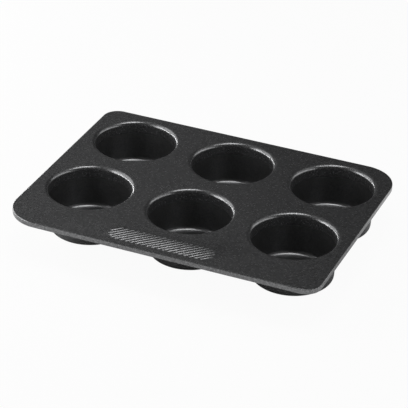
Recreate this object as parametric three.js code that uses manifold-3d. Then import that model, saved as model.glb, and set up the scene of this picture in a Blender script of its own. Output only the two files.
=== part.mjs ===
// Muffin pan for six muffins, in coated steel sheet.
// The deck is one pressing: flat, with a rounded lip and a short collar at each of its six
// holes, a ribbed grip on the front apron, and its edge folded round a stiffening wire.
// The cups are drawn one by one. Each has a belled mouth that fits over a collar from below,
// and the wall under the bell steps in, so that collar and cup are flush inside.
//
// Millimetres, +Z up. The pan stands on its cup floors at Z = 0, the middle of its plan is at
// X = 0, Y = 0, and the grip faces -Y. Shapes are drawn about the middle of the cup grid, with
// Z = 0 on top of the deck, and the whole pan is then set on its feet.

import * as THREE from 'three';
import Module from 'manifold-3d';
import { mergeVertices } from 'three/addons/utils/BufferGeometryUtils.js';

// Sheet and fits
const SHEET = 0.8;
const SEAM_CLEARANCE = 0.3;
const WIRE_CLEARANCE = 0.3;

// Cups: the radius is the inside of the mouth, the depth runs from deck top to cup floor
const COLUMNS = ['left', 'middle', 'right'];
const ROWS = ['front', 'rear'];
const CUP_RADIUS = 34.5;
const CUP_DEPTH = 36.5;
const CUP_DRAFT_DEGREES = 3;
const CUP_FLOOR_FILLET = 3.5;

// Deck: lips and collars of the holes, flat lands around them, and plan corners.
// One diagonal pair of corners is rounder than the other.
const LIP_RADIUS = 3.5;
const COLLAR_LENGTH = 6.5;
const CUP_WEB = 14;
const EDGE_LAND = 3.3;
const CORNER_RADIUS_LARGE = 30;
const CORNER_RADIUS_SMALL = 13.5;

// Folded rim and its wire
const WIRE_DIAMETER = 2.2;
const RIM_INSIDE_BEND = 0.2;
const RIM_RETURN = 2.2;

// Grip on the front apron: a band with round ends, filled with slanting ribs
const GRIP_LENGTH = 91;
const GRIP_WIDTH = 19.5;
const GRIP_REAR_LAND = 9;
const GRIP_FRONT_LAND = 6.3;
const RIB_ANGLE_DEGREES = 45;
const RIB_FOOT = 2;
const RIB_GAP = 1.25;
const RIB_CREST = 0.8;
const RIB_HEIGHT = 0.5;

// Facets
const ROUND_SEGMENTS = 32;
const LIP_SEGMENTS = 3;
const FILLET_SEGMENTS = 3;
const CORNER_SEGMENTS = 8;
const BEND_SEGMENTS = 3;
const WIRE_SEGMENTS = 10;
const RIB_END_SEGMENTS = 2;

// Sizes that follow from the ones above
const mouthReach = CUP_RADIUS + LIP_RADIUS;
const cupPitch = 2 * mouthReach + CUP_WEB;
const rimInside = WIRE_DIAMETER + 2 * WIRE_CLEARANCE;
const rimSize = rimInside + 2 * SHEET;
const rimBend = RIM_INSIDE_BEND + SHEET;
const sideMargin = mouthReach + EDGE_LAND + rimSize;
const frontMargin = mouthReach + GRIP_REAR_LAND + GRIP_WIDTH + GRIP_FRONT_LAND;
const gridHalfWidth = (COLUMNS.length - 1) * cupPitch / 2;
const gridHalfDepth = (ROWS.length - 1) * cupPitch / 2;
const rightEdge = gridHalfWidth + sideMargin;
const rearEdge = gridHalfDepth + sideMargin;
const frontEdge = -gridHalfDepth - frontMargin;
const gripMiddle = frontEdge + GRIP_FRONT_LAND + GRIP_WIDTH / 2;
const collarEnd = -LIP_RADIUS - COLLAR_LENGTH;

const cupCentres = ROWS.flatMap((row, j) => COLUMNS.map((column, i) => ({
  name: `cup_${row}_${column}`,
  x: i * cupPitch - gridHalfWidth,
  y: j * cupPitch - gridHalfDepth,
})));

const coating = new THREE.MeshStandardMaterial({ color: 0x3a3b3d, roughness: 0.45, metalness: 0.3 });
const cupCoating = new THREE.MeshStandardMaterial({ color: 0x333436, roughness: 0.45, metalness: 0.3 });
const wireSteel = new THREE.MeshStandardMaterial({ color: 0x9a9c9f, roughness: 0.4, metalness: 1 });

const wasm = await Module();
wasm.setup();

// Points on an arc about (x, y), in degrees from start to end
function arc(x, y, radius, start, end, segments) {
  return Array.from({ length: segments + 1 }, (_, i) => {
    const angle = THREE.MathUtils.degToRad(start + (end - start) * i / segments);
    return new THREE.Vector2(x + radius * Math.cos(angle), y + radius * Math.sin(angle));
  });
}

// The plan outline of the pan, drawn in from its outer edge by inset, anticlockwise
function planOutline(inset) {
  const corners = [
    { x: rightEdge, y: rearEdge, radius: CORNER_RADIUS_LARGE, start: 0 },
    { x: -rightEdge, y: rearEdge, radius: CORNER_RADIUS_SMALL, start: 90 },
    { x: -rightEdge, y: frontEdge, radius: CORNER_RADIUS_LARGE, start: 180 },
    { x: rightEdge, y: frontEdge, radius: CORNER_RADIUS_SMALL, start: 270 },
  ];
  return corners.flatMap(({ x, y, radius, start }) => {
    const centreX = x - Math.sign(x) * radius;
    const centreY = y - Math.sign(y) * radius;
    return arc(centreX, centreY, radius - inset, start, start + 90, CORNER_SEGMENTS);
  });
}

function circle(x, y, radius) {
  return arc(x, y, radius, 0, 360, ROUND_SEGMENTS).slice(0, ROUND_SEGMENTS);
}

// A triangle soup that grows face by face
class Skin {
  positions = [];

  triangle(...corners) {
    corners.forEach((corner) => this.positions.push(corner.x, corner.y, corner.z));
  }

  // Joins each ring to the next one, all with the same number of points
  strip(rings) {
    rings.slice(1).forEach((upper, r) => {
      const lower = rings[r];
      lower.forEach((point, i) => {
        const next = (i + 1) % lower.length;
        this.triangle(point, lower[next], upper[i]);
        this.triangle(lower[next], upper[next], upper[i]);
      });
    });
  }

  // A flat face at height z, with holes, facing up or down
  face(contour, holes, z, up) {
    const points = [contour, ...holes].flat().map(({ x, y }) => new THREE.Vector3(x, y, z));
    THREE.ShapeUtils.triangulateShape(contour, holes).forEach(([a, b, c]) => {
      this.triangle(points[a], points[up ? b : c], points[up ? c : b]);
    });
  }

  geometry() {
    const soup = new THREE.BufferGeometry();
    soup.setAttribute('position', new THREE.Float32BufferAttribute(this.positions, 3));
    return mergeVertices(soup);
  }
}

const atHeight = (points, z) => points.map(({ x, y }) => new THREE.Vector3(x, y, z));

function toSolid(geometry) {
  return new wasm.Manifold(new wasm.Mesh({
    numProp: 3,
    vertProperties: new Float32Array(geometry.attributes.position.array),
    triVerts: new Uint32Array(geometry.index.array),
  }));
}

function fromSolid(solid) {
  const mesh = solid.getMesh();
  const geometry = new THREE.BufferGeometry();
  geometry.setAttribute('position', new THREE.BufferAttribute(mesh.vertProperties, 3));
  geometry.setIndex(new THREE.BufferAttribute(mesh.triVerts, 1));
  geometry.computeVertexNormals();
  return geometry;
}

// Section of the folded rim, as (inset from the outer edge, height): from the underside of the
// deck round the inside of the fold to the edge of its return, and back round the outside
function rimSection() {
  const near = rimBend;
  const far = rimSize - rimBend;
  const low = rimBend - rimSize;
  const fold = (bend, edge) => [
    ...arc(near, -rimBend, bend, 90, 180, BEND_SEGMENTS),
    ...arc(near, low, bend, 180, 270, BEND_SEGMENTS),
    ...arc(far, low, bend, 270, 360, BEND_SEGMENTS),
    new THREE.Vector2(edge, RIM_RETURN - rimSize),
  ];
  return [...fold(RIM_INSIDE_BEND, rimSize - SHEET), ...fold(rimBend, rimSize).reverse()];
}

// Section of a lip and collar, as (radius, height): from the deck top down the inside of the
// collar, and back up its outside to the underside of the deck
function lipSection() {
  const top = arc(mouthReach, -LIP_RADIUS, LIP_RADIUS, 90, 180, LIP_SEGMENTS);
  const underside = arc(mouthReach, -LIP_RADIUS, LIP_RADIUS - SHEET, 180, 90, LIP_SEGMENTS);
  const collar = [
    new THREE.Vector2(CUP_RADIUS, collarEnd),
    new THREE.Vector2(CUP_RADIUS + SHEET, collarEnd),
  ];
  return [...top, ...collar, ...underside];
}

// How far a slanting line through (x, 0) runs before it leaves the grip band, on one side
function ribReach(x, slant, radius, side) {
  const halfStraight = GRIP_LENGTH / 2 - GRIP_WIDTH / 2;
  const toEdge = side * radius / slant.y;
  const edgeX = x + toEdge * slant.x;
  if (Math.abs(edgeX) <= halfStraight) {
    return toEdge;
  }
  const fromEnd = x - Math.sign(edgeX) * halfStraight;
  const along = fromEnd * slant.x;
  const root = along * along - fromEnd * fromEnd + radius * radius;
  return root > 0 ? side * Math.sqrt(root) - along : NaN;
}

// Plan of one rib: a bar with round ends between two points
function ribPlan(start, end, slant, width) {
  const turn = THREE.MathUtils.radToDeg(slant.angle());
  return [
    ...arc(end.x, end.y, width / 2, turn - 90, turn + 90, RIB_END_SEGMENTS),
    ...arc(start.x, start.y, width / 2, turn + 90, turn + 270, RIB_END_SEGMENTS),
  ];
}

// All the ribs of the grip as flat-topped ridges on a surface at height z.
// They run down below that surface by the height of a rib, to join it or cut it cleanly.
function gripRibs(z) {
  const skin = new Skin();
  const angle = THREE.MathUtils.degToRad(RIB_ANGLE_DEGREES);
  const slant = new THREE.Vector2(Math.cos(angle), Math.sin(angle));
  const radius = GRIP_WIDTH / 2 - RIB_FOOT / 2;
  const spacing = (RIB_FOOT + RIB_GAP) / slant.y;
  const count = Math.floor((GRIP_LENGTH + GRIP_WIDTH / Math.tan(angle)) / spacing);
  for (let i = 0; i <= count; i += 1) {
    const x = (i - count / 2) * spacing;
    const from = ribReach(x, slant, radius, -1);
    const to = ribReach(x, slant, radius, 1);
    if (to - from > RIB_FOOT) {
      const middle = new THREE.Vector2(x, gripMiddle);
      const start = slant.clone().multiplyScalar(from).add(middle);
      const end = slant.clone().multiplyScalar(to).add(middle);
      const foot = ribPlan(start, end, slant, RIB_FOOT);
      const crest = ribPlan(start, end, slant, RIB_CREST);
      skin.face(foot, [], z - RIB_HEIGHT, false);
      skin.strip([atHeight(foot, z - RIB_HEIGHT), atHeight(foot, z), atHeight(crest, z + RIB_HEIGHT)]);
      skin.face(crest, [], z + RIB_HEIGHT, true);
    }
  }
  return toSolid(skin.geometry());
}

// The deck pressing: two flat faces a sheet apart, joined round the rim and at each hole.
// The ribs are pressed up through the sheet, so the underside has a groove below each rib.
function deckGeometry() {
  const skin = new Skin();
  const contour = planOutline(rimBend);
  const holes = cupCentres.map(({ x, y }) => circle(x, y, mouthReach));
  skin.face(contour, holes, 0, true);
  skin.face(contour, holes, -SHEET, false);
  skin.strip(rimSection().map((point) => atHeight(planOutline(point.x), point.y)));
  cupCentres.forEach(({ x, y }) => {
    skin.strip(lipSection().map((point) => atHeight(circle(x, y, point.x), point.y)));
  });
  const pressing = toSolid(skin.geometry());
  return fromSolid(pressing.add(gripRibs(0)).subtract(gripRibs(-SHEET)));
}

// A drawn cup, turned about its axis, with its floor's underside at height 0
function cupGeometry() {
  const height = CUP_DEPTH + SHEET;
  const bellTop = height - LIP_RADIUS;
  const bellFoot = height + collarEnd - SEAM_CLEARANCE;
  const step = SHEET + SEAM_CLEARANCE;
  const wallTop = bellFoot - step;
  const draft = Math.tan(THREE.MathUtils.degToRad(CUP_DRAFT_DEGREES));
  const filletTop = SHEET + CUP_FLOOR_FILLET;
  const wallFoot = CUP_RADIUS - (wallTop - filletTop) * draft;
  const filletCentre = wallFoot - CUP_FLOOR_FILLET;
  const outerFillet = CUP_FLOOR_FILLET + SHEET;
  const bellRadius = CUP_RADIUS + step;
  const profile = [
    new THREE.Vector2(0, 0),
    ...arc(filletCentre, filletTop, outerFillet, -90, 0, FILLET_SEGMENTS),
    new THREE.Vector2(CUP_RADIUS + SHEET, wallTop),
    new THREE.Vector2(bellRadius + SHEET, bellFoot),
    new THREE.Vector2(bellRadius + SHEET, bellTop),
    new THREE.Vector2(bellRadius, bellTop),
    new THREE.Vector2(bellRadius, bellFoot),
    new THREE.Vector2(CUP_RADIUS, wallTop),
    ...arc(filletCentre, filletTop, CUP_FLOOR_FILLET, 0, -90, FILLET_SEGMENTS),
    new THREE.Vector2(0, SHEET),
  ];
  return new THREE.LatheGeometry(profile, ROUND_SEGMENTS).rotateX(Math.PI / 2);
}

// The stiffening wire, a round bar bent to the plan outline and closed on itself
function wireGeometry() {
  const skin = new Skin();
  const section = arc(rimSize / 2, -rimSize / 2, WIRE_DIAMETER / 2, 0, -360, WIRE_SEGMENTS);
  skin.strip(section.map((point) => atHeight(planOutline(point.x), point.y)));
  return skin.geometry();
}

function piece(name, geometry, material) {
  const mesh = new THREE.Mesh(geometry, material);
  mesh.name = name;
  return mesh;
}

const pan = new THREE.Group();
pan.position.set(0, -(rearEdge + frontEdge) / 2, CUP_DEPTH + SHEET);
pan.add(piece('deck_plate', deckGeometry(), coating));
pan.add(piece('rim_wire', wireGeometry(), wireSteel));

const cup = cupGeometry();
cupCentres.forEach(({ name, x, y }) => {
  const mesh = piece(name, cup, cupCoating);
  mesh.position.set(x, y, -CUP_DEPTH - SHEET);
  pan.add(mesh);
});

export default pan;
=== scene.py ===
import math

import bmesh
import bpy
from mathutils import Matrix, Vector


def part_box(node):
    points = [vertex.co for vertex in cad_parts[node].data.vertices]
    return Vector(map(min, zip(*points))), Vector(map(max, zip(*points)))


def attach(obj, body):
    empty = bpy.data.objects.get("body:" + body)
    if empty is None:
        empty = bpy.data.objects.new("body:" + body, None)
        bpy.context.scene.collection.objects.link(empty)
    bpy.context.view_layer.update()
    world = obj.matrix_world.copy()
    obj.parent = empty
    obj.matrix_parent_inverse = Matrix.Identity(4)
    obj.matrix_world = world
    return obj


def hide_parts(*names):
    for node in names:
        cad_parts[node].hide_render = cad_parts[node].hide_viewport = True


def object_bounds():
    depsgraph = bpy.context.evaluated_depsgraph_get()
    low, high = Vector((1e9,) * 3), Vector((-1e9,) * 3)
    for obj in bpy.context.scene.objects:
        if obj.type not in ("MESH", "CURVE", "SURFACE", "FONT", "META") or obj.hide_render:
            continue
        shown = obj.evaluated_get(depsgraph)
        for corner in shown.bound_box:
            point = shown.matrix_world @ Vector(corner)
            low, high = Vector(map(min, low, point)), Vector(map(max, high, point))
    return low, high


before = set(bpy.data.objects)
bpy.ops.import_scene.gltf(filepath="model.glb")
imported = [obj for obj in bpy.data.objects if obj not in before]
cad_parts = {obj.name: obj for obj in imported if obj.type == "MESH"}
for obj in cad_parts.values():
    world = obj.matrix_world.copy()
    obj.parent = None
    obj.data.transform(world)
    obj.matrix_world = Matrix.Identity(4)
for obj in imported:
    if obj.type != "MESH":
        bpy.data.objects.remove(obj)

cad_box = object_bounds()

# Deck: one pressing of thin steel sheet. Each of its six holes turns down over a rounded lip into
# a short collar, and its edge is folded down and under into a square hem. One diagonal pair of
# corners is rounder than the other. The whole pressing has a charcoal non-stick coat.
MM = 0.001
sheet = 0.8 * MM
hem_size = 4.4 * MM
hem_bend = 0.5 * MM
hem_inside_bend = 0.1 * MM
hem_return = 2.2 * MM
sheared_edge = 0.25 * MM
round_corner = 30 * MM
tight_corner = 13.5 * MM
cup_radius = 34.5 * MM
lip_radius = 3.5 * MM
collar_length = 6.5 * MM
rib_height = 0.5 * MM

# How finely the bends are drawn, and how close together points count as one
fewest_bend_steps = 3
bend_per_step = 0.5 * MM
corner_steps = 24
turn_steps = 128
flat_hold = 0.2 * MM
long_flat = 1 * MM
touching = 0.001 * MM

deck_low, deck_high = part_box("deck_plate")
deck_top = deck_high.z - rib_height
deck_underside = deck_top - sheet
collar_end = deck_top - lip_radius - collar_length
quarter_turn = math.radians(90)
full_turn = 4 * quarter_turn
sharp_turn = math.radians(50)
upright = Vector((0, 0, 1))
sideways = Vector((1, 0, 0))

cup_names = sorted(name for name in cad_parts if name.startswith("cup_"))
cup_axes = {}
for name in cup_names:
    low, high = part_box(name)
    cup_axes[name] = Vector(((low.x + high.x) / 2, (low.y + high.y) / 2, 0))


def bend_section(bm, foot, outward, corners):
    """Draws a section of the sheet as a line of (distance outward, height, bend radius) corners.

    A long flat gets a point close to each end, so that the bends beside it don't tint it.
    """
    line = [bm.verts.new(foot + outward * out + upright * height) for out, height, _ in corners]
    for start, end in zip(line, line[1:]):
        bm.edges.new((start, end))
    for corner, (_, _, bend) in zip(line, corners):
        if bend:
            sides = [edge.other_vert(corner).co - corner.co for edge in corner.link_edges]
            turn = math.pi - sides[0].angle(sides[1])
            bmesh.ops.bevel(
                bm,
                geom=[corner],
                offset=bend * math.tan(turn / 2),
                offset_type="OFFSET",
                segments=fewest_bend_steps + round(bend / bend_per_step),
                profile=0.5,
                affect="VERTICES",
                material=-1,
            )
    for edge in [edge for edge in bm.edges if edge.is_wire and edge.calc_length() > long_flat]:
        for end in tuple(edge.verts):
            bmesh.utils.edge_split(edge, end, flat_hold / edge.calc_length())
    edges = [edge for edge in bm.edges if edge.is_wire]
    return list(dict.fromkeys(vert for edge in edges for vert in edge.verts)) + edges


def sweep_round_edge(bm, section):
    """Carries a section round the pan's outline, from the start of the rear right corner."""
    next_corners = plan_corners[1:] + plan_corners[:1]
    for (centre, radius, side), (next_centre, next_radius, _) in zip(plan_corners, next_corners):
        bend = bmesh.ops.spin(
            bm, geom=section, cent=centre, axis=upright, angle=quarter_turn, steps=corner_steps
        )
        run = next_centre + side * next_radius - centre - side * radius
        straight = bmesh.ops.spin(
            bm, geom=bend["geom_last"], cent=centre, axis=upright, dvec=run, angle=0, steps=1
        )
        section = straight["geom_last"]
    bmesh.ops.remove_doubles(bm, verts=bm.verts, dist=touching)


def close_flat(bm, height):
    """Fills the flat of the sheet at one height, between its edge, its holes and its ribs."""
    edges = [
        edge
        for edge in bm.edges
        if edge.is_boundary and all(abs(vert.co.z - height) < touching for vert in edge.verts)
    ]
    bmesh.ops.triangle_fill(bm, use_beauty=True, edges=edges)


def make_piece(name, bm):
    """Turns a finished bmesh into a smooth-shaded piece that stands still with the pan."""
    bmesh.ops.recalc_face_normals(bm, faces=bm.faces)
    for face in bm.faces:
        face.smooth = True
    mesh = bpy.data.meshes.new(name)
    bm.to_mesh(mesh)
    bm.free()
    mesh.set_sharp_from_angle(angle=sharp_turn)
    piece = bpy.data.objects.new(name, mesh)
    bpy.context.scene.collection.objects.link(piece)
    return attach(piece, "root")


# Each corner of the plan: its centre, its radius, and the way that the side after it faces
plan_corners = []
for x, y, radius, side in (
    (deck_high.x, deck_high.y, round_corner, (0, 1, 0)),
    (deck_low.x, deck_high.y, tight_corner, (-1, 0, 0)),
    (deck_low.x, deck_low.y, round_corner, (0, -1, 0)),
    (deck_high.x, deck_low.y, tight_corner, (1, 0, 0)),
):
    centre = Vector((x - math.copysign(radius, x), y - math.copysign(radius, y), 0))
    plan_corners.append((centre, radius, Vector(side)))

deck = bmesh.new()
hem_low = deck_top - hem_size
return_end = hem_low + hem_return
return_inside = hem_size - sheet
hem_start = Vector((deck_high.x, deck_high.y - round_corner, 0))
hem = bend_section(deck, hem_start, -sideways, [
    (hem_bend + flat_hold, deck_top, 0),
    (0, deck_top, hem_bend),
    (0, hem_low, hem_bend),
    (hem_size, hem_low, hem_bend),
    (hem_size, return_end, sheared_edge),
    (return_inside, return_end, sheared_edge),
    (return_inside, hem_low + sheet, hem_inside_bend),
    (sheet, hem_low + sheet, hem_inside_bend),
    (sheet, deck_underside, hem_inside_bend),
    (hem_bend + flat_hold, deck_underside, 0),
])
sweep_round_edge(deck, hem)

lip_foot = cup_radius + lip_radius + flat_hold
for axis in cup_axes.values():
    lip = bend_section(deck, axis, sideways, [
        (lip_foot, deck_top, 0),
        (cup_radius, deck_top, lip_radius),
        (cup_radius, collar_end, 0),
        (cup_radius + sheet, collar_end, sheared_edge),
        (cup_radius + sheet, deck_underside, lip_radius - sheet),
        (lip_foot, deck_underside, 0),
    ])
    bmesh.ops.spin(
        deck, geom=lip, cent=axis, axis=upright, angle=full_turn, steps=turn_steps, use_merge=True
    )

# Grip: a band of slanting ribs across the front apron, pressed up through the sheet, so that a
# wet or gloved thumb holds. The band has round ends, and the ribs end on its outline.
grip_length = 91 * MM
grip_width = 19.5 * MM
grip_front_land = 6.3 * MM
rib_foot = 2 * MM
rib_gap = 1.25 * MM
rib_slant = math.radians(45)
rib_sides = 16
flank_steps = 6
flank_share = 0.85
groove_share = 0.65

slant = Vector((math.cos(rib_slant), math.sin(rib_slant), 0))
grip_middle = deck_low.y + grip_front_land + grip_width / 2
band_radius = grip_width / 2 - rib_foot / 2
band_straight = grip_length / 2 - grip_width / 2
rib_spacing = (rib_foot + rib_gap) / slant.y
rib_count = math.floor((grip_length + grip_width / math.tan(rib_slant)) / rib_spacing)
groove_foot = groove_share * rib_foot


def rib_reach(x, side):
    """How far a rib through x on the grip's middle line runs along its slant, to one edge of the band."""
    reach = side * band_radius / slant.y
    edge_x = x + reach * slant.x
    if abs(edge_x) <= band_straight:
        return reach
    from_end = x - math.copysign(band_straight, edge_x)
    along = from_end * slant.x
    inside_end = along ** 2 - from_end ** 2 + band_radius ** 2
    return side * math.sqrt(max(inside_end, 0)) - along


def press_rib(bm, start, end, width, rise):
    """Presses a bar with round ends up from the sheet, over a flank that eases in at foot and crest."""
    half_step = math.pi / rib_sides
    turned = Matrix.Translation((start + end) / 2) @ Matrix.Rotation(rib_slant + half_step, 4, "Z")
    bar = bmesh.ops.create_circle(bm, cap_ends=True, segments=rib_sides, radius=width / 2, matrix=turned)
    for vert in bar["verts"]:
        ahead = (vert.co - (start + end) / 2).dot(slant) > 0
        vert.co += (end - start) / 2 if ahead else (start - end) / 2
    crest = bar["verts"][0].link_faces[0]
    crest.normal_update()
    facing = math.copysign(1, crest.normal.z)
    climbed = 0
    for step in range(1, flank_steps + 1):
        climb = rise * (1 - math.cos(math.pi * step / flank_steps)) / 2
        bmesh.ops.inset_individual(
            bm,
            faces=[crest],
            thickness=flank_share * width / 2 / flank_steps,
            depth=facing * (climb - climbed),
            use_even_offset=True,
        )
        climbed = climb


for index in range(rib_count + 1):
    x = (index - rib_count / 2) * rib_spacing
    if rib_reach(x, 1) - rib_reach(x, -1) > rib_foot:
        middle = Vector((x, grip_middle, deck_top))
        start = middle + slant * rib_reach(x, -1)
        end = middle + slant * rib_reach(x, 1)
        press_rib(deck, start, end, rib_foot, rib_height)
        press_rib(deck, start - upright * sheet, end - upright * sheet, groove_foot, rib_height)

close_flat(deck, deck_top)
close_flat(deck, deck_underside)
deck_piece = make_piece("pan_deck", deck)
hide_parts("deck_plate")

# Coat: a satin non-stick lacquer with metal flake, sprayed on the pressings and baked. The spray
# leaves a fine speckle in tone and gloss and a faint orange peel.
speckle_size = 1.6 * MM
speckle_layers = 3
speckle_crispness = 0.65
speckle_contrast = 3
speckle_middle = 0.5
speckle_gloss = 0.1
peel_size = 2.5 * MM
peel_layers = 2
peel_share = 0.5
grain_depth = 0.05 * MM
grain_strength = 0.25
deck_dark = (0.11, 0.111, 0.113, 1)
deck_light = (0.23, 0.231, 0.235, 1)
deck_flake = 0.8
deck_roughness = 0.21

# A colour Mix node's sockets share their names with its number sockets, so they go by place
mix_first = 6
mix_second = 7
mix_result = 2


class Shade:
    """One socket of a finish's nodes. Arithmetic on it adds Math nodes."""

    def __init__(self, tree, socket=None):
        self.tree = tree
        self.socket = socket

    def node(self, kind, settings, sockets, output=0):
        made = self.tree.nodes.new(kind)
        for name, value in settings.items():
            setattr(made, name, value)
        for name, value in sockets.items():
            if isinstance(value, Shade):
                self.tree.links.new(value.socket, made.inputs[name])
            else:
                made.inputs[name].default_value = value
        return Shade(self.tree, made.outputs[output] if made.outputs else None)

    def maths(self, operation, first, second):
        return self.node("ShaderNodeMath", {"operation": operation}, {0: first, 1: second})

    def __add__(self, other):
        return self.maths("ADD", self, other)

    def __sub__(self, other):
        return self.maths("SUBTRACT", self, other)

    def __mul__(self, other):
        return self.maths("MULTIPLY", self, other)

    def __rsub__(self, other):
        return self.maths("SUBTRACT", other, self)

    __radd__ = __add__
    __rmul__ = __mul__


def coating(name, dark, light, flake_share, smoothest):
    """The coat as set for one kind of pressing, between two tones and from its smoothest speckles up; the
    cups' setting carries painted shade in its flake share.
    """
    material = bpy.data.materials.new(name)
    material.use_nodes = True
    material.node_tree.nodes.clear()
    finish = Shade(material.node_tree)
    place = finish.node("ShaderNodeTexCoord", {}, {}, "Object")
    speckle = finish.node("ShaderNodeTexNoise", {}, {
        "Vector": place,
        "Scale": 1 / speckle_size,
        "Detail": speckle_layers,
        "Roughness": speckle_crispness,
    })
    peel = finish.node("ShaderNodeTexNoise", {}, {
        "Vector": place,
        "Scale": 1 / peel_size,
        "Detail": peel_layers,
    })
    lightness = speckle_contrast * (speckle - speckle_middle) + speckle_middle
    tone = finish.node(
        "ShaderNodeMix",
        {"data_type": "RGBA"},
        {0: lightness, mix_first: dark, mix_second: light},
        mix_result,
    )
    grain = finish.node("ShaderNodeBump", {}, {
        "Strength": grain_strength,
        "Distance": grain_depth,
        "Height": speckle + peel_share * peel,
    })
    coat = finish.node("ShaderNodeBsdfPrincipled", {}, {
        "Base Color": tone,
        "Roughness": smoothest + speckle_gloss * speckle,
        "Metallic": flake_share,
        "Normal": grain,
    })
    finish.node("ShaderNodeOutputMaterial", {}, {"Surface": coat})
    return material


deck_coating = coating("deck_coating", deck_dark, deck_light, deck_flake, deck_roughness)
deck_piece.data.materials.append(deck_coating)

# Cups: drawn from the same sheet one by one, with straight drafted walls and a rounded floor
# corner. Each has a belled mouth that is pushed over its collar from below until the collar
# sits on the step under the bell, and the coat is baked over the seam.
cup_draft = math.tan(math.radians(3))
floor_fillet = 3.5 * MM
seam = 0.05 * MM
step_bend = 0.4 * MM
# The cups' coat is the deck's coat with a higher flake share, which halves its diffuse colour and
# brightens its reflections a little: painted shade on the cups, and a faint painted sheen.
cup_dark = (0.15, 0.151, 0.153, 1)
cup_light = (0.2, 0.201, 0.204, 1)
cup_flake_and_painted_shade = 0.9
cup_roughness = 0.26

step_top = collar_end - seam
step_underside = step_top - sheet
bell_top = deck_top - lip_radius
bell_inside = cup_radius + sheet + seam
bell_outside = bell_inside + sheet
floor_corner = cup_radius - step_underside * cup_draft
floor_hold = floor_corner - floor_fillet - flat_hold
wall_outside = cup_radius + sheet - sheet * cup_draft
foot_corner = floor_corner + sheet - sheet * cup_draft

cup_coating = coating("cup_coating", cup_dark, cup_light, cup_flake_and_painted_shade, cup_roughness)
for name, axis in cup_axes.items():
    cup = bmesh.new()
    section = bend_section(cup, axis, sideways, [
        (0, 0, 0),
        (floor_hold, 0, 0),
        (foot_corner, 0, floor_fillet + sheet),
        (wall_outside - sheet * cup_draft, step_underside - sheet, step_bend),
        (bell_outside, step_underside + sheet / 2, step_bend),
        (bell_outside, bell_top, sheared_edge),
        (bell_inside, bell_top, sheared_edge),
        (bell_inside, step_top, step_bend),
        (cup_radius, step_top, 0),
        (floor_corner, sheet, floor_fillet),
        (floor_hold, sheet, 0),
        (0, sheet, 0),
    ])
    bmesh.ops.spin(
        cup, geom=section, cent=axis, axis=upright, angle=full_turn, steps=turn_steps, use_merge=True
    )
    bmesh.ops.remove_doubles(cup, verts=cup.verts, dist=touching)
    cup_piece = make_piece("pan_" + name, cup)
    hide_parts(name)
    cup_piece.data.materials.append(cup_coating)

# Rim wire: a closed ring of drawn steel wire, bent to the pan's outline, that stiffens the edge
# from inside the hem. It is bare metal, with a fine grain in tone and gloss.
wire_radius = 1.1 * MM
wire_sides = 24
wire_dark = (0.42, 0.425, 0.43, 1)
wire_light = (0.6, 0.605, 0.61, 1)
wire_roughness = 0.3
wire_gloss = 0.15
wire_grain = 0.3 * MM
wire_grain_layers = 4

wire = bmesh.new()
wire_middle = hem_start + Vector((-hem_size / 2, 0, deck_top - hem_size / 2))
bmesh.ops.create_circle(
    wire,
    segments=wire_sides,
    radius=wire_radius,
    matrix=Matrix.Translation(wire_middle) @ Matrix.Rotation(quarter_turn, 4, "X"),
)
sweep_round_edge(wire, wire.verts[:] + wire.edges[:])
wire_piece = make_piece("pan_rim_wire", wire)
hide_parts("rim_wire")

wire_steel = bpy.data.materials.new("wire_steel")
wire_steel.use_nodes = True
wire_steel.node_tree.nodes.clear()
finish = Shade(wire_steel.node_tree)
place = finish.node("ShaderNodeTexCoord", {}, {}, "Object")
grain = finish.node("ShaderNodeTexNoise", {}, {
    "Vector": place,
    "Scale": 1 / wire_grain,
    "Detail": wire_grain_layers,
})
steel_tone = finish.node(
    "ShaderNodeMix",
    {"data_type": "RGBA"},
    {0: grain, mix_first: wire_dark, mix_second: wire_light},
    mix_result,
)
steel = finish.node("ShaderNodeBsdfPrincipled", {}, {
    "Base Color": steel_tone,
    "Metallic": 1,
    "Roughness": wire_roughness + wire_gloss * grain,
})
finish.node("ShaderNodeOutputMaterial", {}, {"Surface": steel})
wire_piece.data.materials.append(wire_steel)

# Floor: a plain pale studio table. To the camera most of it is plain white, and so it is in
# reflections, except in a soft ellipse close under the pan, where reflections see only the lit table:
# painted shade there, where the pan's shadow falls. The rest takes the light, so that the pan has its
# shadow.
floor_size = 8
floor_pale = (0.65, 0.65, 0.65, 1)
white = (1, 1, 1, 1)
plain_share = 0.95
under_pan_width = 0.2
under_pan_depth = 0.165
shade_start = 0.7
shade_end = 1.05

floor_mesh = bmesh.new()
bmesh.ops.create_grid(floor_mesh, x_segments=1, y_segments=1, size=floor_size / 2)
mesh = bpy.data.meshes.new("floor")
floor_mesh.to_mesh(mesh)
floor_mesh.free()
floor = bpy.data.objects.new("floor", mesh)
bpy.context.scene.collection.objects.link(floor)

floor_finish = bpy.data.materials.new("floor")
floor_finish.use_nodes = True
floor_finish.node_tree.nodes.clear()
finish = Shade(floor_finish.node_tree)
seen = finish.node("ShaderNodeLightPath", {}, {}, "Is Camera Ray")
mirrored = finish.node("ShaderNodeLightPath", {}, {}, "Is Glossy Ray")
through = finish.node("ShaderNodeLightPath", {}, {}, "Is Transmission Ray")
place = finish.node("ShaderNodeTexCoord", {}, {}, "Object")
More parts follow.
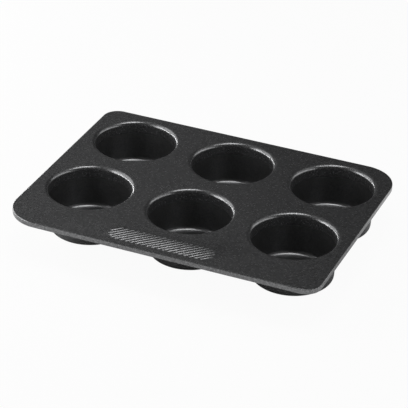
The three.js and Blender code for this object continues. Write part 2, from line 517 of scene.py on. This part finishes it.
# A soft ellipse under the pan where reflections lose the plain white: a painted shade zone where the
# pan's shadow falls.
from_middle = finish.node(
    "ShaderNodeVectorMath",
    {"operation": "MULTIPLY"},
    {0: place, 1: (1 / under_pan_width, 1 / under_pan_depth, 0)},
)
away = finish.node("ShaderNodeVectorMath", {"operation": "LENGTH"}, {0: from_middle}, "Value")
clear = finish.node("ShaderNodeMapRange", {}, {
    "Value": away,
    "From Min": shade_start,
    "From Max": shade_end,
})
lit = finish.node("ShaderNodeBsdfDiffuse", {}, {"Color": floor_pale})
plain = finish.node("ShaderNodeEmission", {}, {"Color": white, "Strength": 1})
surface = finish.node(
    "ShaderNodeMixShader",
    {},
    {0: (seen + (mirrored + through) * clear) * plain_share, 1: lit, 2: plain},
)
finish.node("ShaderNodeOutputMaterial", {}, {"Surface": surface})
floor.data.materials.append(floor_finish)

# Light: a low strip under a big dim panel on the left, a softbox at the front left, a dim panel at
# the rear left, two softboxes and a dim ceiling overhead, and a long low reflector under a dim panel
# on the right, in a dark room.
room_grey = (0.012, 0.012, 0.012, 1)
pan_middle = (cad_box[0] + cad_box[1]) / 2


def softbox(name, direction, distance, width, height, brightness):
    """Stands a softbox that faces the pan. Brightness is its own, as seen in a mirror."""
    lamp = bpy.data.lights.new(name, "AREA")
    lamp.shape = "RECTANGLE"
    lamp.size = width
    lamp.size_y = height
    lamp.energy = brightness * math.pi * width * height
    holder = bpy.data.objects.new(name, lamp)
    towards = Vector(direction).normalized()
    facing = towards.to_track_quat("Z", "Y").to_matrix().to_4x4()
    holder.matrix_world = Matrix.Translation(pan_middle + towards * distance) @ facing
    bpy.context.scene.collection.objects.link(holder)


softbox("left_strip", (-0.985, 0.08, 0.095), distance=0.6, width=0.9, height=0.05, brightness=15)
softbox("left_panel", (-0.82, -0.1, 0.57), distance=0.6, width=0.8, height=0.36, brightness=1.7)
softbox("rear_left_panel", (-0.54, 0.36, 0.76), distance=1, width=1.3, height=1.1, brightness=0.08)
softbox("front_left_softbox", (-0.8, -0.55, 0.3), distance=0.75, width=0.4, height=0.4, brightness=3.6)
softbox("top_softbox", (0.05, -0.06, 1), distance=1.2, width=0.4, height=0.55, brightness=5)
softbox("top_right_softbox", (0.42, -0.05, 1), distance=1.2, width=0.4, height=0.36, brightness=3.3)
softbox("ceiling", (0, -0.1, 1), distance=1.5, width=2.4, height=2.4, brightness=0.1)
softbox("right_reflector", (0.9, 0.3, 0.26), distance=1.2, width=1.75, height=0.5, brightness=1.7)
softbox("right_panel", (0.7, 0.4, 0.62), distance=1.2, width=1.2, height=0.7, brightness=0.5)

room = bpy.data.worlds.new("room")
room.use_nodes = True
room.node_tree.nodes["Background"].inputs["Color"].default_value = room_grey
bpy.context.scene.world = room

# Camera: a long lens at the front right, about thirty degrees above the table
camera_turn = math.radians(22.18)
camera_rise = math.radians(29.81)
camera_roll = math.radians(1.85)
camera_distance = 1672.8 * MM
camera_aim = Vector((5.65 * MM, -16.24 * MM, deck_top))
picture_width = 408
focal_length_in_pixels = 2050.5

camera_data = bpy.data.cameras.new("camera")
camera_data.sensor_width = 36
camera_data.lens = focal_length_in_pixels / picture_width * camera_data.sensor_width
camera = bpy.data.objects.new("camera", camera_data)
aimed = (
    Matrix.Translation(camera_aim)
    @ Matrix.Rotation(camera_turn, 4, "Z")
    @ Matrix.Rotation(quarter_turn - camera_rise, 4, "X")
    @ Matrix.Rotation(camera_roll, 4, "Z")
)
camera.matrix_world = aimed @ Matrix.Translation((0, 0, camera_distance))
bpy.context.scene.collection.objects.link(camera)
bpy.context.scene.camera = camera
bpy.context.scene.view_settings.view_transform = "Standard"
